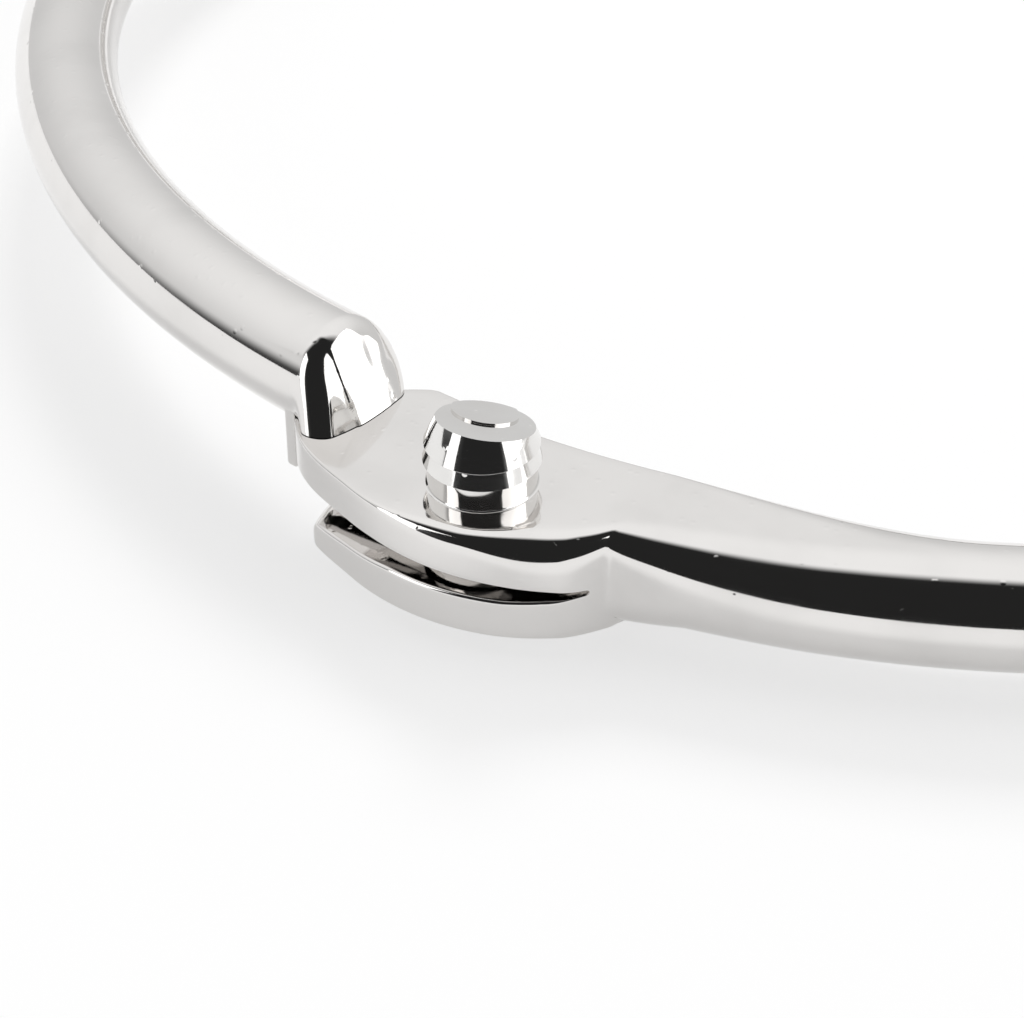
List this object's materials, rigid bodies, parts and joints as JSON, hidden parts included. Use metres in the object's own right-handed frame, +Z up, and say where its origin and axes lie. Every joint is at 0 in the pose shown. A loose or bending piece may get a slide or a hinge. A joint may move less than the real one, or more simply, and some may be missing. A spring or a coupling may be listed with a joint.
{
  "type": "binder ring",
  "caption": "Hinged wire ring that holds punched sheets: a forked half and a tongued half swing about a ringed rivet post and meet in a plain lap.",
  "frame": {"origin": "centre of the ring, on the surface that the ring lies on", "axes": "+Z up out of the ring's plane, on the side of the rivet's post; the hinge lies towards -Y, the closure towards +Y, the forked half towards +X"},
  "size_m": [0.057, 0.0585, 0.0055],
  "materials": {
    "nickel_wire": "bright nickel plating on drawn and forged steel wire",
    "nickel_rivet": "bright nickel plating on a turned steel rivet"
  },
  "bodies": {
    "fork_half": {"fork_half": "nickel_wire", "hinge_rivet": "nickel_rivet"},
    "tongue_half": {"tongue_half": "nickel_wire"}
  },
  "joints": [
    {"name": "ring_hinge", "type": "hinge", "parent": "fork_half", "child": "tongue_half", "pos_m": [0, -0.0277, 0.002], "axis": [0, 0, 1], "range_deg": [0, 110]}
  ]
}
